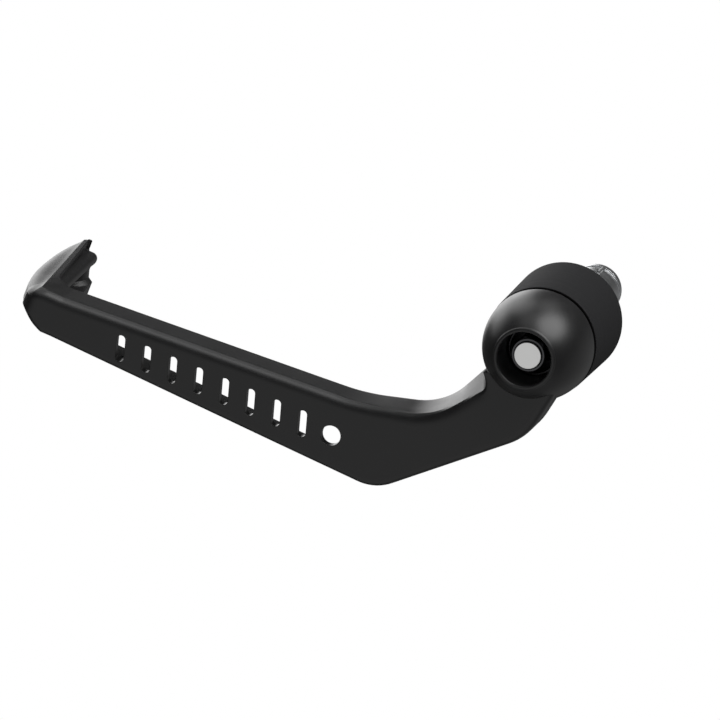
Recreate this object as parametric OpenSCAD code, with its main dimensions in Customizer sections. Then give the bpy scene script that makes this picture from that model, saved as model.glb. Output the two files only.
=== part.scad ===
// Lever guard for the end of a handlebar: a moulded arm with a domed boss, a
// turned spacer, and an expander that a stud and nut draw tight inside the bar.
// +X runs forward along the blade, +Y outboard along the bar, +Z up.
// The origin is on the bar axis, on the spacer face that seats on the bar's end.
// All sizes are in millimetres.

/* [Bar end spacer] */
// Length of the spacer between the bar's end and the boss
spacer_len = 30; // [20:0.2:45]
// Diameter of the spacer where it meets the bar
spacer_bar_d = 33.4; // [31:0.1:36]
// Diameter of the spacer where it meets the boss
spacer_boss_d = 32.8; // [31:0.1:36]
// Width of the shadow groove between spacer and boss
groove_w = 1.4; // [0.6:0.1:2]
// Depth of the shadow groove
groove_depth = 1.2; // [0.6:0.1:2]
// Diameter of the spigot that centres the boss
spigot_d = 22; // [19:0.5:25]
// Height of that spigot above the boss's rear face
spigot_h = 1.5; // [1:0.1:2.2]

/* [Boss] */
// Largest diameter of the domed boss
boss_d = 32.5; // [31:0.1:36]
// Height of the dome's rim above the boss's rear face
boss_h = 19.8; // [18:0.2:24]
// Height at which the dome's curve would close over the axis
dome_reach = 22.7; // [21.7:0.1:27]
// Fullness of the dome: 2 is an ellipse, more is squarer
dome_power = 2.1; // [2:0.05:3]
// Diameter of the recess for the nut
recess_d = 16.2; // [15.6:0.1:18]
// Depth of the recess below the dome's rim
recess_depth = 14.3; // [12.5:0.1:15.5]
// Radius of the rounded rim of the recess
rim_r = 0.8; // [0.3:0.1:1.2]
// Chamfer of the boss's rear edge
rear_chamfer = 0.5; // [0.2:0.1:1]

/* [Blade and neck] */
// Depth of the channel from its face to its open back
arm_depth = 13.5; // [10:0.5:15]
// Height of the arm's face above the boss's rear face
arm_face_h = 14; // [12:0.5:16]
// Thickness of the face of the channel
web_t = 3; // [2:0.1:4]
// Thickness of the channel's two flanges
flange_t = 2.6; // [1.8:0.1:3.2]
// Rounding of the upper front edge
top_round = 3.6; // [1.5:0.1:4.5]
// Rounding of the lower front edge
bottom_round = 2.6; // [1.5:0.1:4]
// Distance forward to the start of the corner
blade_end_x = 132.5; // [120:0.5:145]
// Height of the blade's top edge where the blade begins
blade_top_z = -36; // [-38:0.5:-33]
// Slope of the blade's top edge, rise over run
blade_top_slope = -0.074; // [-0.1:0.002:-0.05]
// Height of the blade's bottom edge where the blade begins
blade_bottom_z = -56.1; // [-58.5:0.1:-53.5]
// Slope of the blade's bottom edge, rise over run
blade_bottom_slope = 0.031; // [0.01:0.001:0.05]

/* [Hook] */
// Distance inboard of the boss's rear face that the hook reaches
hook_reach = 44; // [34:0.5:50]
// How far the corner's outer face stands ahead of the blade's end
hook_ahead = 11.6; // [10.4:0.2:13]
// Radius of the corner between the blade's face and the hook's front
corner_r = 5.2; // [4:0.2:6]
// Radius of the bow in the hook's front face from its foremost point inboard
hook_bow_r = 195; // [150:5:260]
// Radius of the bow from its foremost point out to the corner
hook_bow_outer_r = 85; // [75:5:160]
// Place of that foremost point, inboard of the boss's rear face
hook_bow_y = 11; // [6:0.5:15]
// Radius of the inside of the corner at its lip
inside_r = 4.5; // [3:0.1:5.5]
// Thickness of the hook's front wall
hook_wall = 3; // [2.2:0.1:3.6]
// Length over which the front of the free end is rounded off
hook_end_len = 12; // [6:0.5:14]
// Depth to which it is rounded off
hook_end_cut = 3.8; // [2:0.1:4]
// Rise of the hook's top edge from the corner to its free end
hook_rise = 0.8; // [0:0.1:2]
// Drop of the hook's bottom edge from the corner to its free end
hook_drop = 2.8; // [0:0.1:3.5]
// Thickness of the rounded rib along the back of the hook
rib_t = 3.6; // [2.6:0.1:4]

/* [Slots] */
// Number of through slots in the blade
slot_count = 8; // [3:1:8]
// Distance from one slot to the next
slot_pitch = 8.2; // [7:0.1:8.4]
// Height of a slot from end to end
slot_h = 8; // [5:0.2:8.4]
// Width of a slot
slot_w = 2.6; // [1.6:0.1:3.4]
// Lean of the slots, degrees
slot_lean = 16; // [0:1:24]
// Forward place of the slot next to the neck
slot_first_x = 54.5; // [52:0.5:58]
// Diameter of the round hole beside the slots
end_hole_d = 6; // [4:0.2:7]

/* [Fasteners] */
// Thread diameter of the stud
stud_d = 8; // [6:0.5:8.5]
// Radial room around the stud in each plain hole
stud_room = 0.2; // [0.1:0.05:0.4]
// Radial room left between the stud and each thread
thread_room = 0.05; // [0.02:0.01:0.08]
// Height of the stud's end above the nut
stud_proud = 0.7; // [0.3:0.1:1.5]
// Chamfer of the stud's ends
stud_chamfer = 0.15; // [0.1:0.05:0.5]
// Width of the nut across its flats
nut_af = 10; // [9.6:0.1:11]
// Height of the nut's hexagon
nut_hex_h = 6; // [5:0.1:7]
// Diameter of the nut's flange
nut_flange_d = 14.2; // [13:0.1:14.8]
// Thickness of the nut's flange
nut_flange_t = 1.5; // [1:0.1:2]
// Height of the chamfer over the nut's corners
nut_chamfer_h = 1.1; // [0.6:0.1:1.6]
// Diameter of the washer
washer_d = 15.6; // [14.9:0.1:16]
// Thickness of the washer
washer_t = 1.6; // [1:0.1:2]

/* [Expander] */
// Outer diameter of the split sleeve, for the bore of the bar
sleeve_d = 15.8; // [14.8:0.1:17.5]
// Length of the split sleeve
sleeve_len = 24; // [20:0.5:32]
// Bore of the split sleeve between its two mouths
sleeve_bore_d = 10; // [9.4:0.1:11]
// Length of each conical mouth
mouth_len = 6; // [4:0.5:8]
// Length of cone left outside each mouth before it is tightened
cone_show = 4; // [2:0.5:6]
// Length of the collar at the wide end of each cone
collar_len = 2; // [1:0.5:4]
// Taper of the cones, radius lost over length
cone_taper = 0.2; // [0.14:0.01:0.24]
// Radial room between the cones and the sleeve
cone_room = 0.05; // [0.02:0.01:0.1]
// Width of the slits in the sleeve
slit_w = 1.2; // [0.8:0.1:1.8]
// Room on each side of the keys that lie in the slits
key_room = 0.1; // [0.05:0.05:0.2]
// Depth to which the first cone is sunk into the spacer
spacer_sink = 2; // [1:0.2:4]

/* [Hidden] */

black_nylon = "#262628";
black_acetal = "#2d2d2f";
black_steel = "#1c1c1e";
bright_zinc = "#d2d4d6";
raw_alloy = "#b4b6b8";

round_fn = 96;
eps = 0.01;

// Places along the bar's axis, from the nut inboard
boss_y = spacer_len + groove_w;
rim_y = boss_y + boss_h;
recess_floor_y = rim_y - recess_depth;
washer_top_y = recess_floor_y + washer_t;
nut_top_y = washer_top_y + nut_flange_t + nut_hex_h;
stud_end_y = nut_top_y + stud_proud;
collar_y = -collar_len;
sleeve_y = collar_y - cone_show;
sleeve_end_y = sleeve_y - sleeve_len;
inner_collar_y = sleeve_end_y - cone_show;
stud_start_y = inner_collar_y - collar_len;

stud_r = stud_d / 2;
spigot_room = 0.15;
spigot_recess = spigot_h + spigot_room;
sink_room = 0.15;
sleeve_edge = 0.3;
collar_rise = 0.4;
// How far the nut's round top face stays inside its flats
nut_crown = 0.3;
// Share of the sleeve's length that each slit runs, from one end or the other
slit_share = 0.46;
edge_break = 0.5;

// Radii of the cones, set by the sleeve's bore and mouths
mouth_r = sleeve_bore_d / 2 + mouth_len * cone_taper;
cone_tip_r = sleeve_bore_d / 2 - cone_room;
cone_wide_r = mouth_r + cone_show * cone_taper - cone_room;
collar_r = cone_wide_r + collar_rise;

// Outline of the neck, seen from outboard: corner points and their radii
neck_end_x = 58;
inner_corners = [[10.5, -10.1], [19.5, -28], [42.1, blade_top_z + 1.2], [neck_end_x, blade_top_z]];
inner_radii = [0, 20, 60, 0];
outer_corners = [[-11.3, -8], [-8.2, -23.8], [28.1, blade_bottom_z - 0.9],
                 [neck_end_x - 4, blade_bottom_z - 0.1]];
outer_radii = [0, 18, 13.5, 0];
neck_steps = 24;
neck_hold_back = 1.6;
// Extra rounding of the neck's inner front edge at the boss, and where it ends
neck_extra_round = 4.4;
neck_round_end = 1;
neck_wall_share = 0.4;
blade_steps = 4;
// Gap from the first slot to the round hole, in slot pitches
end_hole_gap = 1.1;
corner_steps = 16;
hook_steps = 14;
round_steps = 6;
arc_steps = 12;

// Front and back of the arm along the bar's axis
face_y = boss_y + arm_face_h;
back_y = face_y - arm_depth;

// Plan of the corner: the inside radius turns about this pivot
pivot_x = blade_end_x;
pivot_y = back_y - inside_r;
front_x = blade_end_x + hook_ahead;
blade_end_top = blade_top_z + blade_top_slope * (blade_end_x - neck_end_x);
blade_end_bottom = blade_bottom_z + blade_bottom_slope * (blade_end_x - neck_end_x);
free_end_y = boss_y - hook_reach;

// Section of the tip and hook. The bevel over its top edge starts at a crease that
// runs straight along the hook, and the chamfer below starts as far back as it is long.
rib_place = 0.7;
rib_share = 0.3;
lip_t = 1.8;
lip_taper = 0.2;
inner_fillet = 1;
thinnest = 0.001;
thin_edge = 0.1;
least_step = 0.4;
rib_start = 0.33;
closing_start = 0.7;
longest_cut = 11;
bevel_drop = 3.8;
bevel_fullness = 0.6;
crease_back = 3.8;
crease_lead = 1.1;
// Height of the lip above the crease, and where round the corner it rises
lip_lift = 0.5;
lift_start = 0.22;
lift_span = 0.22;
chamfer_rise = 5.6;
chamfer_run = 7;
chamfer_fullness = 0.3;
bevel_span = crease_back + 1.4;
cut_span = chamfer_run + 1;
lip_back = 5.6;
rib_back = 8.2;
foot_back = 9.2;
end_notch_back = 4.8;
end_foot_notch_back = 7.2;
end_foot_t = 4.6;
end_foot_rise = 3;

function lerp(a, b, t) = a + (b - a) * t;
function unit(v) = v / norm(v);
function clamp01(t) = min(1, max(0, t));
function ease(t) = let (c = clamp01(t)) c * c * (3 - 2 * c);

// Arc of radius r that rounds the corner q between p and s
function corner_arc(p, q, s, r) =
    let (
        to_p = unit(p - q),
        to_s = unit(s - q),
        half = acos(to_p * to_s) / 2,
        centre = q + unit(to_p + to_s) * r / sin(half),
        from = q + to_p * r / tan(half) - centre,
        to = q + to_s * r / tan(half) - centre,
        start = atan2(from.y, from.x),
        raw = atan2(to.y, to.x) - start,
        sweep = raw > 180 ? raw - 360 : raw < -180 ? raw + 360 : raw
    )
    [for (i = [0:arc_steps]) centre + r * [cos(start + sweep * i / arc_steps),
                                           sin(start + sweep * i / arc_steps)]];

function rounded_path(p, r) =
    [for (i = [0:len(p) - 1])
        each (r[i] == 0 ? [p[i]] : corner_arc(p[i - 1], p[i], p[i + 1], r[i]))];

function run_lengths(p) =
    [for (i = 0, s = 0; i < len(p); s = s + (i + 1 < len(p) ? norm(p[i + 1] - p[i]) : 0), i = i + 1) s];

// Point at a fraction of a path's length
function along(p, s, f) =
    let (
        at = f * s[len(s) - 1],
        xs = [for (i = [0:len(p) - 1]) [s[i], p[i].x]],
        zs = [for (i = [0:len(p) - 1]) [s[i], p[i].y]]
    )
    [lookup(at, xs), lookup(at, zs)];

// Closed section of the channel. u runs up the face from its lower edge and v
// inward from the face. top and foot are [rise, run, fullness] of the two front
// edges, 1 being a true quarter round and 0 a flat bevel. walls are the depths of
// the floor above and below the middle rib, and rib is the depth of the rib itself.
// foot_t and foot_slope give the lower flange's thickness and its inner slope, and
// lift raises the upper lip.
function section(h, top, foot, top_depth, foot_depth, walls, rib, foot_t, foot_slope, lift = 0) =
    let (
        mid = h * rib_place,
        half = min(rib_t, h * rib_share) / 2,
        cap_up = min(half, max(thinnest, rib - walls[0])),
        cap_down = min(half, max(thinnest, rib - walls[1]))
    )
    [
        [0, foot_depth],
        each [for (i = [0:round_steps])
            let (a = 90 * i / round_steps, f = i / round_steps)
            [lerp(foot[0] * f, foot[0] * (1 - cos(a)), foot[2]),
             lerp(foot[1] * (1 - f), foot[1] * (1 - sin(a)), foot[2])]],
        each [for (i = [0:round_steps])
            let (a = 90 * i / round_steps, f = i / round_steps)
            [h - top[0] + lerp(top[0] * f, top[0] * sin(a), top[2]),
             lerp(top[1] * f, top[1] * (1 - cos(a)), top[2])]],
        [h + lift, top_depth],
        [h - min(flange_t, lip_t + walls[0] * lip_taper), top_depth],
        [h - flange_t, min(walls[0] + inner_fillet, top_depth - eps)],
        [h - flange_t - inner_fillet / 2, walls[0]],
        [mid + half, walls[0]],
        [mid + half, rib - cap_up],
        [mid + half * cos(45), rib - cap_up * (1 - cos(45))],
        [mid, rib],
        [mid - half * cos(45), rib - cap_down * (1 - cos(45))],
        [mid - half, rib - cap_down],
        [mid - half, walls[1]],
        [foot_t + foot_slope[0], walls[1]],
        [foot_t, walls[1] + foot_slope[1]],
        [foot_t, foot_depth]
    ];

// A section set between the upper corner a and the lower corner b, facing away from inward
function ring(a, b, inward, pts) =
    let (up = unit(a - b))
    [for (p = pts) b + up * p[0] + inward * p[1]];

blade_top_edge = [top_round, top_round, 1];
blade_foot_edge = [bottom_round, bottom_round, 1];

function channel(a, b, edge) =
    let (more = (edge[0] - top_round) * neck_wall_share, wall = web_t + more)
    ring(a, b, [0, -1, 0],
         section(norm(a - b), edge, blade_foot_edge, arm_depth, arm_depth,
                 [wall, wall], wall, flange_t + more, [1, 1]));

// Rings of the neck, from inside the boss to the start of the blade
inner_path = rounded_path(inner_corners, inner_radii);
outer_path = rounded_path(outer_corners, outer_radii);
inner_run = run_lengths(inner_path);
outer_run = run_lengths(outer_path);
neck_rings = [for (i = [0:neck_steps])
    let (
        f = i / neck_steps,
        a = along(inner_path, inner_run, pow(f, neck_hold_back)),
        b = along(outer_path, outer_run, f)
    )
    channel([a.x, face_y, a.y], [b.x, face_y, b.y],
            blade_top_edge + [1, 1, 0] * neck_extra_round * (1 - ease(f / neck_round_end)))];

// Rings of the straight blade
blade_rings = [for (i = [1:blade_steps])
    let (
        x_top = lerp(neck_end_x, blade_end_x, i / blade_steps),
        x_bottom = lerp(neck_end_x - 4, blade_end_x, i / blade_steps),
        z_top = blade_top_z + blade_top_slope * (x_top - neck_end_x),
        z_bottom = blade_bottom_z + blade_bottom_slope * (x_bottom - neck_end_x)
    )
    channel([x_top, face_y, z_top], [x_bottom, face_y, z_bottom], blade_top_edge)];

// Plan of the hook's front face: a bow, and a rounding over its free end
arc_y = face_y - corner_r;
bow_centre_y = boss_y - hook_bow_y;
function bow(y) =
    let (r = y > bow_centre_y ? hook_bow_outer_r : hook_bow_r)
    sqrt(pow(r, 2) - pow(y - bow_centre_y, 2)) - r;
function end_round(y) =
    let (past = clamp01((free_end_y + hook_end_len - y) / hook_end_len))
    hook_end_cut * (1 - sqrt(1 - pow(past, 2)));
function hook_front(y) = front_x + bow(y) - bow(arc_y) - end_round(y);
function crease_x(y) = front_x - crease_back + crease_lead * clamp01((arc_y - y) / (arc_y - free_end_y));

// Distance from the pivot to the outer face of the corner, on a ray at this angle
function outer_reach(angle) =
    let (
        d = [cos(angle), sin(angle)],
        centre = [front_x - corner_r - pivot_x, face_y - corner_r - pivot_y],
        to_face = (face_y - pivot_y) / max(d.y, eps),
        guess = (front_x - pivot_x) / max(d.x, eps),
        to_side = (hook_front(min(arc_y, pivot_y + d.y * guess)) - pivot_x) / max(d.x, eps),
        flat = min(to_side, to_face),
        hit = d * flat,
        dot = d * centre,
        rounded = dot + sqrt(max(0, pow(corner_r, 2) - (centre * centre - dot * dot)))
    )
    (hit.x > centre.x && hit.y > centre.y) ? rounded : flat;

// Rings of the corner, fanned about the pivot
corner_rings = [for (i = [1:corner_steps])
    let (
        f = i / corner_steps,
        angle = 90 * (1 - f),
        d = [cos(angle), sin(angle), 0],
        reach = outer_reach(angle),
        at = [pivot_x, pivot_y, 0] + d * reach,
        ahead = at.x - front_x,
        bevel = clamp01((ahead + bevel_span) / bevel_span),
        cut = clamp01((ahead + cut_span) / cut_span),
        to_crease = (crease_x(arc_y) - pivot_x) / max(d.x, eps),
        crease_at = crease_x(min(arc_y, pivot_y + d.y * to_crease)),
        flat_end = min((face_y - top_round - pivot_y) / max(d.y, eps),
                       (crease_at - pivot_x) / max(d.x, eps)),
        cut_run = min((chamfer_run + max(0, ahead)) / max(d.x, 1 / 2), longest_cut),
        lip = lerp(inside_r, front_x - lip_back - pivot_x, f * f),
        foot = lerp(inside_r, front_x - foot_back - pivot_x, ease(f)),
        rib = lerp(web_t, hook_front(pivot_y) - front_x + rib_back,
                   ease((f - rib_start) / (1 - rib_start))),
        top = [lerp(top_round, bevel_drop, bevel), reach - flat_end, lerp(1, bevel_fullness, bevel)],
        foot_edge = [lerp(bottom_round, chamfer_rise, cut), lerp(bottom_round, cut_run, cut),
                     lerp(1, chamfer_fullness, cut)]
    )
    ring([at.x, at.y, blade_end_top], [at.x, at.y, blade_end_bottom], -d,
         section(blade_end_top - blade_end_bottom, top, foot_edge, reach - lip, reach - foot,
                 [web_t, web_t], rib, flange_t, [1, 1], lip_lift * ease((f - lift_start) / lift_span)))];

// Rings of the hook. Near its free end the grooves beside the rib close up.
hook_rings = [for (i = [1:hook_steps])
    let (
        f = i / hook_steps,
        y = lerp(pivot_y, free_end_y, sin(90 * f)),
        g = (pivot_y - y) / (pivot_y - free_end_y),
        x = hook_front(y),
        z_top = blade_end_top + hook_rise * g,
        z_bottom = blade_end_bottom - hook_drop * g,
        crease = max(least_step, x - crease_x(y)),
        lip = max(crease + least_step, x - front_x + lip_back - crease_lead * g),
        rib = x - front_x + rib_back,
        foot = x - front_x + foot_back,
        closing = ease((g - closing_start) / (1 - closing_start)),
        upper = min(lip - thin_edge, lerp(hook_wall, x - front_x + end_notch_back, closing)),
        lower = lerp(hook_wall, x - front_x + end_foot_notch_back, closing),
        top = [bevel_drop * (1 + clamp01(crease / crease_back)) / 2, crease, bevel_fullness],
        foot_edge = [chamfer_rise, min(chamfer_run, foot - 1), chamfer_fullness]
    )
    ring([x, y, z_top], [x, y, z_bottom], [-1, 0, 0],
         section(z_top - z_bottom, top, foot_edge, lip, foot, [upper, lower], rib,
                 lerp(flange_t, end_foot_t, closing),
                 [lerp(1, end_foot_rise, closing), lerp(1, foot - lower - thin_edge, closing)], lip_lift))];

module loft(rings) {
    n = len(rings[0]);
    last = len(rings) - 1;
    polyhedron(
        points = [for (r = rings) each r],
        faces = [
            [for (j = [0:n - 1]) j],
            for (i = [0:last - 1], j = [0:n - 1])
                each [[i * n + j, (i + 1) * n + j, (i + 1) * n + (j + 1) % n],
                      [i * n + j, (i + 1) * n + (j + 1) % n, i * n + (j + 1) % n]],
            [for (j = [n - 1:-1:0]) last * n + j]
        ]);
}

// Things made about +Z are turned to lie along +Y
module along_bar(y) {
    translate([0, y, 0])
        rotate([-90, 0, 0])
            children();
}

// Half profile of the dome, from its rear edge up to the rounded rim of the recess
function dome_r(y) = boss_d / 2 * pow(1 - pow(y / dome_reach, dome_power), 1 / dome_power);
dome_steps = 22;
rim_steps = 5;
rim_in = recess_d / 2;

module dome_blank() {
    rotate_extrude($fn = round_fn)
        polygon([
            [0, 0],
            [dome_r(0) - rear_chamfer, 0],
            for (i = [0:dome_steps])
                let (y = lerp(rear_chamfer, boss_h - rim_r, sin(90 * i / dome_steps))) [dome_r(y), y],
            for (i = [1:rim_steps])
                let (a = 90 * i / rim_steps)
                [lerp(dome_r(boss_h - rim_r), rim_in, 1 - cos(a)), boss_h - rim_r + rim_r * sin(a)],
            [0, boss_h]
        ]);
}

// Place along the blade of a slot, counted from the neck
function slot_x(i) = slot_first_x + i * slot_pitch;

module slot() {
    rotate([0, slot_lean, 0])
        rotate([90, 0, 0])
            for (side = [-1, 1])
                translate([0, side * (slot_h - slot_w) / 2, 0])
                    cylinder(d = slot_w, h = web_t * 4, center = true, $fn = 24);
    rotate([0, slot_lean, 0])
        cube([slot_w, web_t * 4, slot_h - slot_w], center = true);
}

function blade_mid_z(x) =
    (blade_top_z - top_round / 2 + blade_top_slope * (x - neck_end_x)
     + blade_bottom_z + blade_bottom_slope * (x - neck_end_x)) / 2;

// One moulding: boss, neck, channel blade and hook
module guard_arm() {
    color(black_nylon)
        difference() {
            union() {
                loft(concat(neck_rings, blade_rings, corner_rings, hook_rings));
                along_bar(boss_y)
                    dome_blank();
            }
            along_bar(recess_floor_y)
                cylinder(d = recess_d, h = recess_depth + 2, $fn = round_fn);
            along_bar(boss_y - eps)
                cylinder(r = spigot_d / 2 + spigot_room, h = spigot_recess + eps, $fn = round_fn);
            along_bar(boss_y)
                cylinder(r = stud_r + stud_room, h = boss_h, $fn = round_fn);
            for (i = [0:slot_count - 1])
                translate([slot_x(i), face_y, blade_mid_z(slot_x(i))])
                    slot();
            translate([slot_x(-end_hole_gap), face_y, blade_mid_z(slot_x(-1))])
                rotate([90, 0, 0])
                    cylinder(d = end_hole_d, h = web_t * 4, center = true, $fn = 48);
        }
}

// Turned spacer between the bar's end and the boss
module bar_end_spacer() {
    color(black_acetal)
        difference() {
            along_bar(0)
                rotate_extrude($fn = round_fn)
                    polygon([
                        [0, 0],
                        [spacer_bar_d / 2 - edge_break, 0],
                        [spacer_bar_d / 2, edge_break],
                        [spacer_boss_d / 2, spacer_len],
                        [spacer_boss_d / 2 - groove_depth, spacer_len],
                        [spacer_boss_d / 2 - groove_depth, boss_y],
                        [spigot_d / 2, boss_y],
                        [spigot_d / 2, boss_y + spigot_h],
                        [0, boss_y + spigot_h]
                    ]);
            along_bar(-eps)
                cylinder(r = stud_r + stud_room, h = boss_y + spigot_h + 2 * eps, $fn = round_fn);
            along_bar(-eps)
                cylinder(r = collar_r + sink_room, h = spacer_sink + eps, $fn = round_fn);
        }
}

module nut_washer() {
    color(black_steel)
        along_bar(recess_floor_y)
            difference() {
                cylinder(d = washer_d, h = washer_t, $fn = round_fn);
                translate([0, 0, -1])
                    cylinder(r = stud_r + stud_room, h = washer_t + 2, $fn = round_fn);
            }
}

// Flanged hexagon nut, its top corners chamfered
module lock_nut() {
    corner_d = nut_af / cos(30);
    nut_top = nut_flange_t + nut_hex_h;
    color(black_steel)
        along_bar(washer_top_y)
            difference() {
                union() {
                    rotate_extrude($fn = round_fn)
                        polygon([[0, 0], [nut_flange_d / 2, 0], [nut_flange_d / 2, nut_flange_t / 2],
                                 [nut_af / 2, nut_flange_t], [0, nut_flange_t]]);
                    intersection() {
                        translate([0, 0, nut_flange_t / 2])
                            cylinder(d = corner_d, h = nut_hex_h + nut_flange_t / 2, $fn = 6);
                        rotate_extrude($fn = round_fn)
                            polygon([[0, 0], [corner_d / 2 + 1, 0],
                                     [corner_d / 2 + 1, nut_top - nut_chamfer_h],
                                     [nut_af / 2 - nut_crown, nut_top],
                                     [0, nut_top]]);
                    }
                }
                translate([0, 0, -1])
                    cylinder(r = stud_r + thread_room, h = nut_top + 2, $fn = round_fn);
            }
}

module through_stud() {
    stud_len = stud_end_y - stud_start_y;
    color(bright_zinc)
        along_bar(stud_start_y)
            rotate_extrude($fn = round_fn)
                polygon([[0, 0], [stud_r - stud_chamfer, 0], [stud_r, stud_chamfer],
                         [stud_r, stud_len - stud_chamfer], [stud_r - stud_chamfer, stud_len],
                         [0, stud_len]]);
}

// Cone with a collar, wide end at z = 0 and pointing up
module cone(collar) {
    rotate_extrude($fn = round_fn)
        polygon([[0, 0], [collar_r, 0], [collar_r, collar], [cone_wide_r, collar],
                 [cone_tip_r, collar + cone_show + mouth_len],
                 [0, collar + cone_show + mouth_len]]);
}

module outer_cone() {
    color(raw_alloy)
        difference() {
            translate([0, spacer_sink, 0])
                rotate([90, 0, 0])
                    cone(spacer_sink + collar_len);
            along_bar(sleeve_end_y)
                cylinder(r = stud_r + stud_room, h = 2 * sleeve_len, $fn = round_fn);
        }
}

module split_sleeve() {
    slit_len = sleeve_len * slit_share;
    color(raw_alloy)
        difference() {
            along_bar(sleeve_end_y)
                rotate_extrude($fn = round_fn)
                    polygon([[mouth_r, 0], [sleeve_d / 2 - sleeve_edge, 0], [sleeve_d / 2, sleeve_edge],
                             [sleeve_d / 2, sleeve_len - sleeve_edge],
                             [sleeve_d / 2 - sleeve_edge, sleeve_len],
                             [mouth_r, sleeve_len], [sleeve_bore_d / 2, sleeve_len - mouth_len],
                             [sleeve_bore_d / 2, mouth_len]]);
            translate([-sleeve_d, sleeve_y - slit_len, -slit_w / 2])
                cube([2 * sleeve_d, slit_len + 1, slit_w]);
            translate([-slit_w / 2, sleeve_end_y - 1, -sleeve_d])
                cube([slit_w, slit_len + 1, 2 * sleeve_d]);
        }
}

// Threaded cone, with two keys that lie in the sleeve's slits
module inner_cone() {
    key_w = slit_w - 2 * key_room;
    color(raw_alloy)
        difference() {
            union() {
                along_bar(stud_start_y)
                    cone(collar_len);
                translate([-key_w / 2, inner_collar_y - collar_len / 2, -collar_r])
                    cube([key_w, collar_len / 2 + cone_show + mouth_len / 2, 2 * collar_r]);
            }
            along_bar(stud_start_y - 1)
                cylinder(r = stud_r + thread_room, h = sleeve_len, $fn = round_fn);
        }
}

guard_arm();
bar_end_spacer();
nut_washer();
lock_nut();
through_stud();
outer_cone();
split_sleeve();
inner_cone();
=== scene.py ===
import math
import bmesh
import bpy
import numpy as np
from mathutils import Matrix, Vector


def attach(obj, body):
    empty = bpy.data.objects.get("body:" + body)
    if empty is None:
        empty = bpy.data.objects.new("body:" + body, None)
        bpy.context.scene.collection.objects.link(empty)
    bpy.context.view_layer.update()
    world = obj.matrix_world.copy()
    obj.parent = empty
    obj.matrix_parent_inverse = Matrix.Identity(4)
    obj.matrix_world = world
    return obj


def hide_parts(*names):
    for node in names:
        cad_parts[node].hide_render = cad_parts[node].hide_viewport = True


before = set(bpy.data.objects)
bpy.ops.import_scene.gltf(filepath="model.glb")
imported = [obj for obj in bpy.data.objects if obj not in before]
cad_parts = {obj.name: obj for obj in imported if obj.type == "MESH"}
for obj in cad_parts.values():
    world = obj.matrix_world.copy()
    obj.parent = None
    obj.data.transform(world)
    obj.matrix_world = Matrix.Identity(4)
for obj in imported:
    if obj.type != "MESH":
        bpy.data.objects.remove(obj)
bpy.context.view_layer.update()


# Lever guard arm: one injection moulding of glass-filled nylon, with its domed boss, a
# channel-shaped neck and blade, a hook with a rib, and a row of slanted slots. It is lofted
# from the same sections as the CAD, more finely, and the nut clamps it to the spacer.
mm = 0.001
boss_y = 31.4                        # the boss's inboard face, which sits on the spacer
face_y = boss_y + 14.0               # the outer face of the neck and the blade
channel_depth = 13.5
wall, flange = 3, 2.6
top_round, foot_round = 3.6, 2.6     # roundings of the channel's two outer edges
rib_width, rib_place = 3.6, 0.7      # the rib's place is a share of the way up the channel
lip_round = 0.25
neck_x, blade_end_x = 58.0, 132.5
neck_steps, blade_steps, corner_steps, hook_steps = 72, 8, 40, 40
edge_steps, rib_steps = 9, 16


def mix(a, b, share):
    return a + (b - a) * share


def clamp(share):
    return min(1, max(0, share))


def ease(share):
    share = clamp(share)
    return share * share * (3 - 2 * share)


def channel_section(height, top, foot, depths, walls, rib, foot_flange, runout,
                    lift=0, tilt=0, top_flange=flange):
    # The points of one cut, (up, in): the foot's lip, the outside, the top lip, then back
    # along the inside and round the rib. An edge is (rise, run, roundness), and depths and
    # walls are (top, foot). Lift and tilt raise the top lip and slope its facet.
    middle, half = height * rib_place, min(rib_width, height * 0.3) / 2
    end_top = min(half, max(0.001, rib - walls[0]))
    end_foot = min(half, max(0.001, rib - walls[1]))
    lip = depths[0] - lip_round
    facet_end = mix(top[1], lip, 0.8)
    quarter = [(i / edge_steps, math.pi / 2 * i / edge_steps) for i in range(edge_steps + 1)]
    points = [(0, depths[1])]
    rise, run, roundness = foot
    for f, angle in quarter:
        points.append((rise * (f + (1 - math.cos(angle) - f) * roundness),
                       run * (1 - f + (f - math.sin(angle)) * roundness)))
    rise, run, roundness = top
    for f, angle in quarter:
        swell = roundness * (1 + (1 - 2 * f) * (1 - roundness) / 0.48)
        back = run * (f + (1 - math.cos(angle) - f) * swell)
        up = height - rise + rise * (f + (math.sin(angle) - f) * swell)
        points.append((min(up, height - tilt * (facet_end - back)), back))
    points += [
        (height + lift * 0.8, facet_end),
        (height + lift, lip),
        (height + lift - lip_round, depths[0]),
        (height - min(top_flange, 1.8 + walls[0] * 0.2), depths[0]),
        (height - top_flange, min(walls[0] + 1, depths[0] - 0.02)),
        (height - top_flange - 0.15, walls[0] + 0.4),
        (height - top_flange - 0.6, walls[0]),
        (middle + half, walls[0]),
        (middle + half, rib - end_top),
    ]
    for i in range(1, rib_steps):
        angle = math.pi * i / rib_steps
        end = end_top if i < rib_steps / 2 else end_foot
        points.append((middle + half * math.cos(angle), rib + (math.sin(angle) - 1) * end))
    points += [
        (middle - half, rib - end_foot),
        (middle - half, walls[1]),
        (foot_flange + runout[0], walls[1]),
        (foot_flange + runout[0] * 0.3, walls[1] + runout[1] * 0.3),
        (foot_flange, walls[1] + runout[1]),
        (foot_flange, depths[1]),
    ]
    return points


def ring(top_edge, foot_edge, inward, *cut, **lips):
    top_edge, foot_edge, inward = Vector(top_edge), Vector(foot_edge), Vector(inward)
    up = (top_edge - foot_edge).normalized()
    points = channel_section((top_edge - foot_edge).length, *cut, **lips)
    return [foot_edge + up * u + inward * v for u, v in points]


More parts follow.
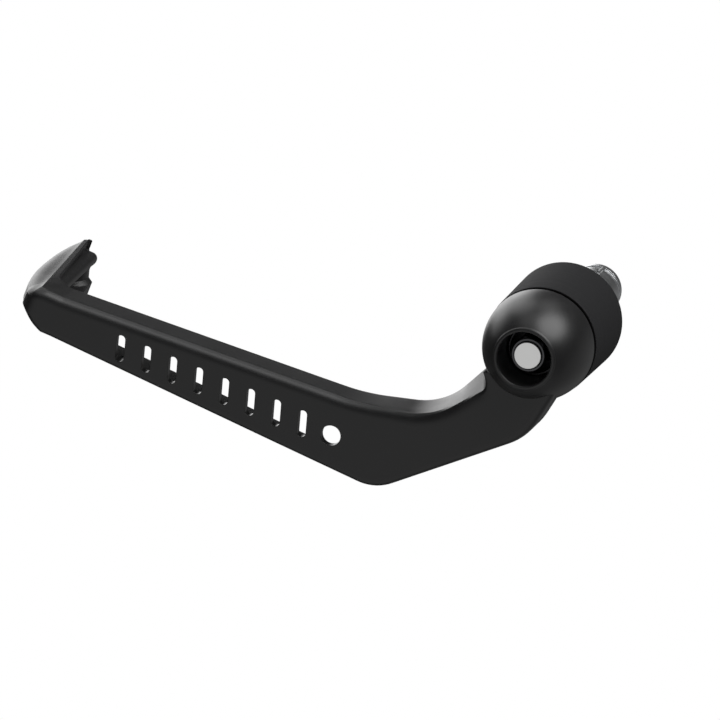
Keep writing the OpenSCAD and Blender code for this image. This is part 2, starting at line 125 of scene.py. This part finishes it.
def channel_ring(top_xz, foot_xz, extra=0, tilt=0, opened=1):
    # Extra thickens the neck towards the boss, where its edges open from nearly sharp.
    thick, edge = wall + extra * 0.4, mix(0.6, top_round + extra, opened)
    return ring((top_xz[0], face_y, top_xz[1]), (foot_xz[0], face_y, foot_xz[1]), (0, -1, 0),
                (edge, edge, 1), (foot_round, foot_round, 1), (channel_depth, channel_depth),
                (thick, thick), thick, flange + extra * 0.4, (1, 1),
                tilt=tilt * opened, top_flange=flange + extra * 0.5)


def rounded_outline(corners, radii, steps=24):
    path = []
    for i, (corner, radius) in enumerate(zip(corners, radii)):
        corner = Vector(corner)
        if not radius:
            path.append(corner)
            continue
        before = (Vector(corners[i - 1]) - corner).normalized()
        after = (Vector(corners[i + 1]) - corner).normalized()
        half = before.angle(after) / 2
        centre = corner + (before + after).normalized() * radius / math.sin(half)
        start = corner + before * radius / math.tan(half) - centre
        end = corner + after * radius / math.tan(half) - centre
        first = math.atan2(start.y, start.x)
        sweep = (math.atan2(end.y, end.x) - first + math.pi) % (2 * math.pi) - math.pi
        angles = [first + sweep * k / steps for k in range(steps + 1)]
        path += [centre + Vector((math.cos(a), math.sin(a))) * radius for a in angles]
    run = np.concatenate([[0], np.cumsum([(q - p).length for p, q in zip(path, path[1:])])])
    return lambda f: [float(np.interp(f * run[-1], run, [p[k] for p in path])) for k in (0, 1)]


def blade_top(x):
    return -36 - 0.074 * (x - neck_x)


def blade_foot(x):
    return -56.1 + 0.031 * (x - neck_x)


neck_top = rounded_outline([(10.5, -10.1), (19.5, -28), (42.1, -34.8), (58, -36)],
                           [0, 20, 60, 0])
neck_foot = rounded_outline([(-11.3, -8), (-8.2, -23.8), (28.1, -56.94), (54, -56.2)],
                            [0, 18, 13.5, 0])
boss_extra, facet_tilt, boss_tilt = 4.4, 0.32, 0.12
crowding = 1.6                       # puts more of the top edge's points near the boss
rings = []
for i in range(neck_steps + 1):
    f = i / neck_steps
    near_boss = 1 - ease(f)
    rings.append(channel_ring(neck_top(f ** crowding), neck_foot(f), boss_extra * near_boss,
                              facet_tilt * near_boss + boss_tilt * (1 - ease(f * 2)),
                              ease((f - 0.03) / 0.17)))
for i in range(1, blade_steps + 1):
    top_x = mix(neck_x, blade_end_x, i / blade_steps)
    foot_x = mix(neck_x - 4, blade_end_x, i / blade_steps)
    rings.append(channel_ring((top_x, blade_top(top_x)), (foot_x, blade_foot(foot_x))))

hook_x = blade_end_x + 11.59         # the hook's outermost face
corner_radius, inside_radius = 5.2, 4.5
pivot = Vector((blade_end_x, face_y - channel_depth - inside_radius))
tip_y, corner_y, bow_y = boss_y - 44.0, face_y - corner_radius, boss_y - 11
hook_top, hook_foot = blade_top(blade_end_x), blade_foot(blade_end_x)
bevel, bevel_narrowing, bevel_roundness = 3.8, 1.1, 0.6
undercut, undercut_roundness = 5.6, 0.3
lip_back, rib_back, foot_back = 5.6, 8.2, 9.2      # how far behind the outermost face
closed_top_back, closed_foot_back = 4.8, 7.2       # the same at the closed tip
bevel_before, undercut_before = 5.2, 8             # how far before it they start to grow
undercut_run, undercut_most = 7, 11
lip_lift, tip_drop, tip_length = 0.32, 3.8, 12
grows_up, grows_down = 0.8, 2.8
corner_bow, hook_bow = 85, 195                     # radii of the outer face, seen from above


def bow(y):
    radius = corner_bow if y > bow_y else hook_bow
    return math.sqrt(radius * radius - (y - bow_y) ** 2) - radius


def hook_face(y):
    past = clamp((tip_y + tip_length - y) / tip_length)
    rounded_off = tip_drop * (1 - math.sqrt(max(0, 1 - past ** 2)))
    return hook_x + bow(y) - bow(corner_y) - rounded_off


def hook_crease(y):
    return hook_x - bevel + bevel_narrowing * clamp((corner_y - y) / (corner_y - tip_y))


def corner_ring(f):
    # The section stands on a ray from the pivot inside the corner, which turns from the
    # blade's direction to the hook's while the rounded edge opens into the bevel.
    ray = Vector((math.cos(math.pi / 2 * (1 - f)), math.sin(math.pi / 2 * (1 - f))))
    out_x, out_y = max(ray.x, 0.01), max(ray.y, 0.01)
    face_at = hook_face(min(corner_y, pivot.y + ray.y * (hook_x - pivot.x) / out_x))
    flat = min((face_at - pivot.x) / out_x, (face_y - pivot.y) / out_y)
    centre = Vector((hook_x - corner_radius, corner_y)) - pivot
    reach = flat
    if (ray * flat).x > centre.x and (ray * flat).y > centre.y:
        dot = ray.dot(centre)
        reach = dot + math.sqrt(max(0, corner_radius ** 2 - centre.length_squared + dot * dot))
    at = pivot + ray * reach
    ahead = at.x - hook_x
    bevelled = clamp((ahead + bevel_before) / bevel_before)
    cut_under = clamp((ahead + undercut_before) / undercut_before)
    to_crease = (hook_crease(corner_y) - pivot.x) / out_x
    crease_at = hook_crease(min(corner_y, pivot.y + ray.y * to_crease))
    flat_end = min((face_y - top_round - pivot.y) / out_y, (crease_at - pivot.x) / out_x)
    run = min((undercut_run + max(0, ahead)) / max(ray.x, 0.5), undercut_most)
    lip = mix(inside_radius, hook_x - lip_back - pivot.x, f * f)
    foot = mix(inside_radius, hook_x - foot_back - pivot.x, ease(f))
    rib = mix(wall, hook_face(pivot.y) - hook_x + rib_back, ease(f * 1.5 - 0.5))
    return ring((at.x, at.y, hook_top), (at.x, at.y, hook_foot), (-ray.x, -ray.y, 0),
                (mix(top_round, bevel, bevelled), reach - flat_end,
                 mix(1, bevel_roundness, bevelled)),
                (mix(foot_round, undercut, cut_under), mix(foot_round, run, cut_under),
                 mix(1, undercut_roundness, cut_under)),
                (reach - lip, reach - foot), (wall, wall), rib, flange, (1, 1),
                lift=lip_lift * ease((f - 0.22) / 0.22))


def hook_ring(y):
    # Towards the tip the hook grows taller and its channel closes up to the rib's depth.
    g = (pivot.y - y) / (pivot.y - tip_y)
    x = hook_face(y)
    behind = x - hook_x
    crease = max(0.4, x - hook_crease(y))
    lip = max(crease + 0.3, behind + lip_back - 1.5 * g)
    rib, foot = behind + rib_back, behind + foot_back
    closing = ease((g - 0.7) / 0.3)
    upper = mix(wall, max(0.3, min(lip - 0.1, behind + closed_top_back)), closing)
    lower = mix(wall, behind + closed_foot_back, closing)
    return ring((x, y, hook_top + grows_up * g), (x, y, hook_foot - grows_down * g), (-1, 0, 0),
                (bevel * mix(0.5, 1, min(1, crease / bevel)), crease, bevel_roundness),
                (undercut, min(undercut_run, foot - 1), undercut_roundness),
                (lip, foot), (min(upper, lip - 0.1), lower), rib, mix(flange, 4.6, closing),
                (mix(1, 3, closing), mix(1, foot - lower - 0.1, closing)), lift=lip_lift)


rings += [corner_ring(i / corner_steps) for i in range(1, corner_steps + 1)]
rings += [hook_ring(mix(pivot.y, tip_y, math.sin(math.pi / 2 * i / hook_steps)))
          for i in range(1, hook_steps + 1)]


def loft_mesh(rings):
    n = len(rings[0])
    verts = [point * mm for one in rings for point in one]
    faces = [[i * n + j, (i + 1) * n + j, (i + 1) * n + (j + 1) % n, i * n + (j + 1) % n]
             for i in range(len(rings) - 1) for j in range(n)]
    faces += [list(range(n)), [(len(rings) - 1) * n + j for j in range(n - 1, -1, -1)]]
    return verts, faces


def lathe_mesh(profile, y0=0, steps=160, closed=False):
    verts, faces, rows = [], [], []
    for radius, y in profile:
        if radius == 0:
            rows.append([len(verts)] * steps)
            verts.append(Vector((0, (y0 + y) * mm, 0)))
        else:
            rows.append(list(range(len(verts), len(verts) + steps)))
            angles = [2 * math.pi * k / steps for k in range(steps)]
            verts += [Vector((radius * math.sin(a), y0 + y, radius * math.cos(a))) * mm
                      for a in angles]
    pairs = list(zip(rows, rows[1:])) + ([(rows[-1], rows[0])] if closed else [])
    for low, high in pairs:
        for k in range(steps):
            m = (k + 1) % steps
            face = [low[k], low[m], high[m], high[k]]
            face = [v for i, v in enumerate(face) if v != face[i - 1]]
            if len(face) > 2:
                faces.append(face)
    return verts, faces


def polygon(x, z, radius, sides):
    angles = [2 * math.pi * k / sides for k in range(sides)]
    return [(x + radius * math.cos(a), z + radius * math.sin(a)) for a in angles]


def slot_outline(x, z, length, width, lean, steps=16):
    half, radius = (length - width) / 2, width / 2
    upright = [(radius * math.cos(a), side * half + radius * math.sin(a))
               for side, first in ((1, 0), (-1, math.pi))
               for a in (first + math.pi * k / steps for k in range(steps + 1))]
    c, s = math.cos(math.radians(lean)), math.sin(math.radians(lean))
    return [(x + u * c + v * s, z - u * s + v * c) for u, v in upright]


def prism_mesh(outline, y_from, y_to):
    n = len(outline)
    verts = [Vector((x * mm, y * mm, z * mm)) for y in (y_from, y_to) for x, z in outline]
    faces = [list(range(n)), list(range(2 * n - 1, n - 1, -1))]
    faces += [[k, (k + 1) % n, n + (k + 1) % n, n + k] for k in range(n)]
    return verts, faces


def new_piece(name, verts, faces):
    mesh = bpy.data.meshes.new(name)
    mesh.from_pydata([tuple(v) for v in verts], [], faces)
    bm = bmesh.new()
    bm.from_mesh(mesh)
    bmesh.ops.recalc_face_normals(bm, faces=bm.faces)
    bm.to_mesh(mesh)
    bm.free()
    mesh.shade_smooth()
    piece = bpy.data.objects.new(name, mesh)
    bpy.context.scene.collection.objects.link(piece)
    return piece


def cut_or_join(target, tool, operation):
    modifier = target.modifiers.new(operation, "BOOLEAN")
    modifier.operation, modifier.solver, modifier.object = operation, "EXACT", tool
    bpy.context.view_layer.update()
    depsgraph = bpy.context.evaluated_depsgraph_get()
    target.data = bpy.data.meshes.new_from_object(target.evaluated_get(depsgraph))
    target.modifiers.clear()
    bpy.data.objects.remove(tool)
    weld = 0.001 * mm
    bm = bmesh.new()
    bm.from_mesh(target.data)
    bmesh.ops.remove_doubles(bm, verts=bm.verts, dist=weld)
    bmesh.ops.dissolve_degenerate(bm, edges=bm.edges, dist=weld)
    bmesh.ops.triangulate(bm, faces=[face for face in bm.faces if len(face.verts) > 4])
    bmesh.ops.dissolve_degenerate(bm, edges=bm.edges, dist=weld)
    bm.to_mesh(target.data)
    bm.free()


def finish_piece(piece, material, sharp):
    piece.data.materials.clear()
    piece.data.materials.append(material)
    piece.data.shade_smooth()
    piece.data.set_sharp_from_angle(angle=math.radians(sharp))
    piece.modifiers.new("even_normals", "WEIGHTED_NORMAL").keep_sharp = True
    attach(piece, "root")
    return piece


def dome_radius(y):
    return 16.25 * (1 - (y / 22.7) ** 2.1) ** (1 / 2.1)


arm = new_piece("guard_arm_moulding", *loft_mesh(rings))

recess_radius, rim_y = 8.1, 19
dome = [(0, 0), (15.75, 0), (15.9, 0.05), (16.12, 0.2), (16.22, 0.4)]
for i in range(41):
    y = mix(0.5, rim_y, math.sin(math.pi / 2 * i / 40))
    dome.append((dome_radius(y), y))
for i in range(1, 11):
    angle = math.pi / 2 * i / 10
    dome.append((mix(dome_radius(rim_y), recess_radius, 1 - math.cos(angle)),
                 rim_y + 0.8 * math.sin(angle)))
dome.append((0, rim_y + 0.8))
cut_or_join(arm, new_piece("dome", *lathe_mesh(dome, boss_y)), "UNION")

recess_floor, mouth_round = 5.5, 0.5
bores = [(0, -1), (11.15, -1), (11.15, 1.7), (4.2, 1.7), (4.2, recess_floor),
         (recess_radius, recess_floor)]
for i in range(7):
    angle = math.pi / 12 * i
    bores.append((recess_radius + mouth_round * (1 - math.cos(angle)),
                  19.25 + mouth_round * math.sin(angle)))
bores += [(9, 19.95), (9, 22), (0, 22)]
cutters = [lathe_mesh(bores, boss_y)]

slot_x, slot_step, slot_count = 54.5, 8.2, 8
slot_length, slot_width, slot_lean = 8, 2.6, 16
cut_from, cut_to = face_y - 6, face_y + 6


def slot_line(x):
    return -46.95 - 0.0215 * (x - neck_x)


hole_x = slot_x - slot_step
cutters.append(prism_mesh(polygon(hole_x - 0.82, slot_line(hole_x), 3, 48), cut_from, cut_to))
for i in range(slot_count):
    x = slot_x + slot_step * i
    slot = slot_outline(x, slot_line(x), slot_length, slot_width, slot_lean)
    cutters.append(prism_mesh(slot, cut_from, cut_to))
verts, faces = [], []
for some_verts, some_faces in cutters:
    faces += [[k + len(verts) for k in face] for face in some_faces]
    verts += some_verts
cut_or_join(arm, new_piece("cutters", verts, faces), "DIFFERENCE")


def set_sockets(tree, node, sockets):
    for name, value in sockets.items():
        if isinstance(value, bpy.types.NodeSocket):
            tree.links.new(value, node.inputs[name])
        else:
            node.inputs[name].default_value = value


def add_node(tree, kind, sockets, **settings):
    node = tree.nodes.new(kind)
    for name, value in settings.items():
        setattr(node, name, value)
    set_sockets(tree, node, sockets)
    return node


def new_group(name, inputs, outputs):
    group = bpy.data.node_groups.new(name, "ShaderNodeTree")
    for side, sockets in (("INPUT", inputs), ("OUTPUT", outputs)):
        for socket, kind in sockets.items():
            group.interface.new_socket(socket, in_out=side, socket_type="NodeSocket" + kind)
    return group, group.nodes.new("NodeGroupInput").outputs, group.nodes.new("NodeGroupOutput")


# Every edge is rounded a little, and the fine relief of the finish lies over it.
relief, given, result = new_group(
    "rounded_edges_and_relief",
    {"Radius": "Float", "Height": "Float", "Strength": "Float"}, {"Normal": "Vector"})
rounding = add_node(relief, "ShaderNodeBevel", {"Radius": given["Radius"]}, samples=8)
bump = add_node(relief, "ShaderNodeBump", {
    "Normal": rounding.outputs["Normal"], "Height": given["Height"],
    "Strength": given["Strength"], "Distance": 0.1 * mm})
set_sockets(relief, result, {"Normal": bump.outputs["Normal"]})

nylon = bpy.data.materials.new("black_nylon_moulded")
nylon.use_nodes = True
tree = nylon.node_tree
spot = add_node(tree, "ShaderNodeTexCoord", {}).outputs["Object"]
grain = add_node(tree, "ShaderNodeTexNoise", {"Vector": spot, "Scale": 2600, "Detail": 3})
mottle = add_node(tree, "ShaderNodeTexNoise", {"Vector": spot, "Scale": 170, "Detail": 4})
tint = add_node(tree, "ShaderNodeMix", {
    "Factor": mottle.outputs["Fac"],
    "A": (0.0108, 0.0108, 0.0112, 1), "B": (0.0152, 0.0152, 0.0156, 1)}, data_type="RGBA")
satin = add_node(tree, "ShaderNodeMapRange", {
    "Value": mottle.outputs["Fac"], "To Min": 0.29, "To Max": 0.39})
skin = add_node(tree, "ShaderNodeGroup", {
    "Radius": 0.35 * mm, "Height": grain.outputs["Fac"], "Strength": 0.12}, node_tree=relief)
set_sockets(tree, tree.nodes["Principled BSDF"], {
    "IOR": 1.5,
    "Base Color": tint.outputs["Result"],
    "Roughness": satin.outputs["Result"],
    "Normal": skin.outputs["Normal"]})
finish_piece(arm, nylon, 14)
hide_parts("guard_arm")


# Bar-end spacer: turned from black acetal bar, with a shadow groove where it meets the
# boss, a spigot that centres the boss and a counterbore for the outer cone's collar.
# The fine rings of the lathe tool are one group of nodes, which every turned piece uses.
turning, given, result = new_group(
    "turning_marks",
    {"Rings": "Float", "Roughness": "Float"}, {"Height": "Float", "Roughness": "Float"})
spot = add_node(turning, "ShaderNodeTexCoord", {}).outputs["Object"]
axes = add_node(turning, "ShaderNodeSeparateXYZ", {"Vector": spot})
across = add_node(turning, "ShaderNodeCombineXYZ", {"X": axes.outputs["X"], "Z": axes.outputs["Z"]})
radius = add_node(turning, "ShaderNodeVectorMath", {0: across.outputs["Vector"]},
                  operation="LENGTH")
along = add_node(turning, "ShaderNodeCombineXYZ", {
    "X": radius.outputs["Value"], "Y": axes.outputs["Y"]})
lathe = add_node(turning, "ShaderNodeTexNoise", {
    "Vector": along.outputs["Vector"], "Scale": given["Rings"], "Detail": 4})
smoother, duller = [
    add_node(turning, "ShaderNodeMath", {0: given["Roughness"], 1: share},
             operation="MULTIPLY").outputs["Value"] for share in (0.8, 1.2)]
polish = add_node(turning, "ShaderNodeMapRange", {
    "Value": lathe.outputs["Fac"], "To Min": smoother, "To Max": duller})
set_sockets(turning, result, {
    "Height": lathe.outputs["Fac"], "Roughness": polish.outputs["Result"]})


def turned_material(name, colour, metallic, roughness, specular, rings, strength):
    material = bpy.data.materials.new(name)
    material.use_nodes = True
    tree = material.node_tree
    marks = add_node(tree, "ShaderNodeGroup", {"Rings": rings, "Roughness": roughness},
                     node_tree=turning)
    skin = add_node(tree, "ShaderNodeGroup", {
        "Radius": 0.3 * mm, "Height": marks.outputs["Height"], "Strength": strength},
        node_tree=relief)
    set_sockets(tree, tree.nodes["Principled BSDF"], {
        "Base Color": (*colour, 1),
        "Metallic": metallic,
        "Specular IOR Level": specular,
        "Roughness": marks.outputs["Roughness"],
        "Normal": skin.outputs["Normal"]})
    return material


acetal_colour, painted_shade_colour = (0.021, 0.021, 0.022), (0.001, 0.001, 0.001)
acetal = turned_material("black_acetal_turned", acetal_colour, 0, 0.75, 0.1, 2400, 0.15)
tree = acetal.node_tree
# Painted shade: the base colour falls to near black where other surfaces lie within 3 mm. The
# groove at the boss and other tight corners are darkened in the colour itself, not by the light.
occlusion_near = add_node(tree, "ShaderNodeAmbientOcclusion", {"Distance": 3 * mm}, samples=8)
painted_shade_weight = add_node(tree, "ShaderNodeMath", {0: occlusion_near.outputs["AO"], 1: 3}, operation="POWER")
painted_shade_tone = add_node(tree, "ShaderNodeMix", {
    "Factor": painted_shade_weight.outputs["Value"], "A": (*painted_shade_colour, 1), "B": (*acetal_colour, 1)},
    data_type="RGBA")
set_sockets(tree, tree.nodes["Principled BSDF"], {"Base Color": painted_shade_tone.outputs["Result"]})

spacer = [(6.8, 2), (6.8, 0.2), (7, 0), (16.2, 0), (16.45, 0.07), (16.63, 0.25), (16.7, 0.5)]
spacer += [(mix(16.7, 16.4, i / 12), mix(0.5, 29.7, i / 12)) for i in range(1, 13)]
spacer += [(16.3, 29.9), (16.1, 30), (15.3, 30), (15.2, 30.1), (15.2, 31.3), (15.1, 31.4),
           (11, 31.4), (11, 32.7), (10.8, 32.9), (4.4, 32.9), (4.2, 32.7), (4.2, 2)]
piece = new_piece("spacer_turned", *lathe_mesh(spacer, closed=True))
finish_piece(piece, acetal, 30)
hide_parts("bar_end_spacer")


# Nut washer: a plain steel washer, blanked and then black oxide finished. It lies on the
# floor of the recess, under the nut's flange, and spreads the load over the nylon.
oxide = turned_material("black_oxide_steel", (0.1, 0.1, 0.105), 1, 0.25, 0.5, 1500, 0.2)
washer_y, fastener_steps = boss_y + recess_floor, 96
washer = [(4.2, 0.1), (4.3, 0), (7.6, 0), (7.8, 0.2), (7.8, 1.35), (7.72, 1.53), (7.55, 1.6),
          (4.4, 1.6), (4.2, 1.4)]
piece = new_piece("washer_ring", *lathe_mesh(washer, washer_y, fastener_steps, closed=True))
finish_piece(piece, oxide, 40)
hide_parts("nut_washer")


# Lock nut: a cold-formed steel nut with a flange, 10 mm across its flats, black oxide.
# It is run down the stud onto the washer and holds the arm against the spacer.
flats, flange_y, nut_end_y = 10, 39.2, 46
hexagon = polygon(0, 0, flats / math.sqrt(3), 6)
nut = new_piece("lock_nut_formed", *prism_mesh(hexagon, flange_y, nut_end_y))
for name, profile, operation in (
    ("nut_turning", [(0, 38), (8, 38), (8, 45.3), (5.9, 45.3), (5.3, 45.66), (4.95, 45.88),
                     (4.8, nut_end_y), (0, nut_end_y)], "INTERSECT"),
    ("nut_flange", [(0, 38.5), (6.9, 38.5), (7.1, 38.65), (7.1, flange_y), (6.9, 39.35),
                    (5, 40), (0, 40)], "UNION"),
    ("nut_bore", [(0, 38), (4.45, 38), (4.45, 38.5), (4.05, 38.9), (4.05, 45.7), (4.3, 45.95),
                  (4.3, 47), (0, 47)], "DIFFERENCE"),
):
    cut_or_join(nut, new_piece(name, *lathe_mesh(profile, 0, fastener_steps)), operation)
finish_piece(nut, oxide, 25)
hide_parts("lock_nut")


# Through stud: rolled M8 thread along a zinc-plated steel rod. Its outboard end stands just
# above the nut, and its inboard end draws the threaded cone into the sleeve.
zinc = turned_material("bright_zinc", (1, 1, 0.99), 1, 0.22, 0.5, 900, 0.1)
turns, per_turn, pitch, thread_y = 65, 28, 1.25, -35.4
crest_radius, side_radius, thread_depth = 4.0, 3.99, 0.62
row = 5                              # points across one turn of the thread
thread, faces = [], []
for i in range(turns * per_turn + 1):
    angle = 2 * math.pi * i / per_turn
    fade = min(1, i / per_turn, (turns * per_turn - i) / per_turn)
    root_radius = crest_radius - thread_depth * fade
    for up, radius in ((0, side_radius), (0.16, crest_radius), (0.56, root_radius),
                       (0.72, root_radius), (1.12, side_radius)):
        thread.append(Vector((radius * math.sin(angle), thread_y + pitch * i / per_turn + up,
                              radius * math.cos(angle))) * mm)
for i in range(turns * per_turn):
    here, ahead, above = i * row, (i + 1) * row, (i + per_turn) * row
    faces += [[here + k, here + k + 1, ahead + k + 1, ahead + k] for k in range(row - 1)]
    if i < (turns - 1) * per_turn:
        faces.append([here + row - 1, above, above + row, ahead + row - 1])
piece = finish_piece(new_piece("stud_thread", thread, faces), zinc, 50)
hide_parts("through_stud")
core = [(0, -36), (3.7, -36), (3.85, -35.95), (3.98, -35.7), (3.98, -34.2), (3.35, -34),
        (3.35, 45.2), (3.98, 45.4), (3.98, 46.5), (3.93, 46.64), (3.82, 46.7), (0, 46.7)]
finish_piece(new_piece("stud_core", *lathe_mesh(core, 0, fastener_steps)), zinc, 30)


# Expander: two cones and a split sleeve, all turned from aluminium bar and left bare.
# The stud pulls the cones into the sleeve's mouths, so that it grips the bar's bore.
alloy = turned_material("bare_aluminium", (0.62, 0.63, 0.64), 1, 0.32, 0.5, 1200, 0.3)
for name in ("outer_cone", "split_sleeve", "inner_cone"):
    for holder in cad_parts[name].material_slots:
        holder.link = "OBJECT"
        holder.material = alloy


# Camera: a parallel view from outboard, a little above and rolled, as in the photograph.
# It stands well away from the part, because only its direction and width count.
lens = bpy.data.cameras.new("camera")
camera = bpy.data.objects.new("camera", lens)
bpy.context.scene.collection.objects.link(camera)
bpy.context.scene.camera = camera
lens.type, lens.ortho_scale, lens.clip_end = "ORTHO", 0.2081, 10
right = Vector((-0.9079, -0.2438, 0.3416)).normalized()
up = Vector((0.3971, -0.2355, 0.8871)).normalized()
back = Vector((-0.1359, 0.941, 0.3106)).normalized()
centre, stand_off = Vector((0.0454, 0.0452, -0.0220)), 1.5
turn = Matrix((right, up, back)).transposed().to_4x4()
camera.matrix_world = Matrix.Translation(centre + back * stand_off) @ turn


# Floor: a sheet of pale paper, well below the part and much wider than it.
# It glows evenly, and only the camera sees it, from above.
floor_z, floor_half = -0.12, 3
floor_mesh = bpy.data.meshes.new("floor")
floor_mesh.from_pydata([(-floor_half, -floor_half, floor_z), (floor_half, -floor_half, floor_z),
                        (floor_half, floor_half, floor_z), (-floor_half, floor_half, floor_z)],
                       [], [(0, 1, 2, 3)])
floor = bpy.data.objects.new("floor", floor_mesh)
bpy.context.scene.collection.objects.link(floor)
paper = bpy.data.materials.new("pale_floor")
paper.use_nodes = True
tree = paper.node_tree
tree.nodes.remove(tree.nodes["Principled BSDF"])
path = add_node(tree, "ShaderNodeLightPath", {})
side = add_node(tree, "ShaderNodeNewGeometry", {})
above = add_node(tree, "ShaderNodeMath", {
    0: path.outputs["Is Camera Ray"], 1: side.outputs["Backfacing"]},
    operation="SUBTRACT", use_clamp=True)
both = add_node(tree, "ShaderNodeMixShader", {
    "Fac": above.outputs["Value"],
    1: add_node(tree, "ShaderNodeBsdfTransparent", {}).outputs["BSDF"],
    2: add_node(tree, "ShaderNodeEmission", {}).outputs["Emission"]})
set_sockets(tree, tree.nodes["Material Output"], {"Surface": both.outputs["Shader"]})
floor_mesh.materials.append(paper)


# Studio: a dim room with soft boxes in it, and a white backdrop that only the camera sees.
# Each box is a soft round patch of light: its name, direction, half-angle and strength.
world = bpy.data.worlds.new("studio")
bpy.context.scene.world = world
world.use_nodes = True
tree = world.node_tree
tree.nodes.clear()
look = add_node(tree, "ShaderNodeTexCoord", {}).outputs["Generated"]
brightness = 0.06
for name, direction, size, strength in (
    ("behind_left", (0.66, -0.73, 0.17), 17, 2.15),
    ("behind_low", (0.36, -0.92, -0.1), 13, 2.3),
    ("far_left", (0.9, -0.42, 0.1), 14, 1.3),
    ("left_high", (0.62, -0.5, 0.6), 14, 1.9),
    ("above_left", (0.45, 0.05, 0.88), 18, 0.95),
    ("behind_high", (0.16, -0.55, 0.82), 12, 1.1),
    ("overhead", (-0.28, 0, 0.96), 25, 5.5),
    ("front_fill", (-0.1, 0.8, -0.55), 55, 0.54),
    ("behind_right", (-0.75, -0.6, -0.35), 35, 0.22),
):
    towards = add_node(tree, "ShaderNodeVectorMath", {0: look, 1: Vector(direction).normalized()},
                       operation="DOT_PRODUCT", name=name)
    patch = add_node(tree, "ShaderNodeMapRange", {
        "Value": towards.outputs["Value"],
        "From Min": math.cos(math.radians(size * 1.35)),
        "From Max": math.cos(math.radians(size * 0.65)),
        "To Min": 0, "To Max": strength}, interpolation_type="SMOOTHSTEP")
    brightness = add_node(tree, "ShaderNodeMath", {
        0: brightness, 1: patch.outputs["Result"]}, operation="ADD").outputs["Value"]
light = add_node(tree, "ShaderNodeBackground", {"Strength": brightness})
backdrop = add_node(tree, "ShaderNodeBackground", {"Color": (1, 1, 1, 1), "Strength": 1})
path = add_node(tree, "ShaderNodeLightPath", {})
both = add_node(tree, "ShaderNodeMixShader", {
    "Fac": path.outputs["Is Camera Ray"],
    1: light.outputs["Background"], 2: backdrop.outputs["Background"]})
add_node(tree, "ShaderNodeOutputWorld", {"Surface": both.outputs["Shader"]})

bpy.context.scene.view_settings.view_transform = "Standard"
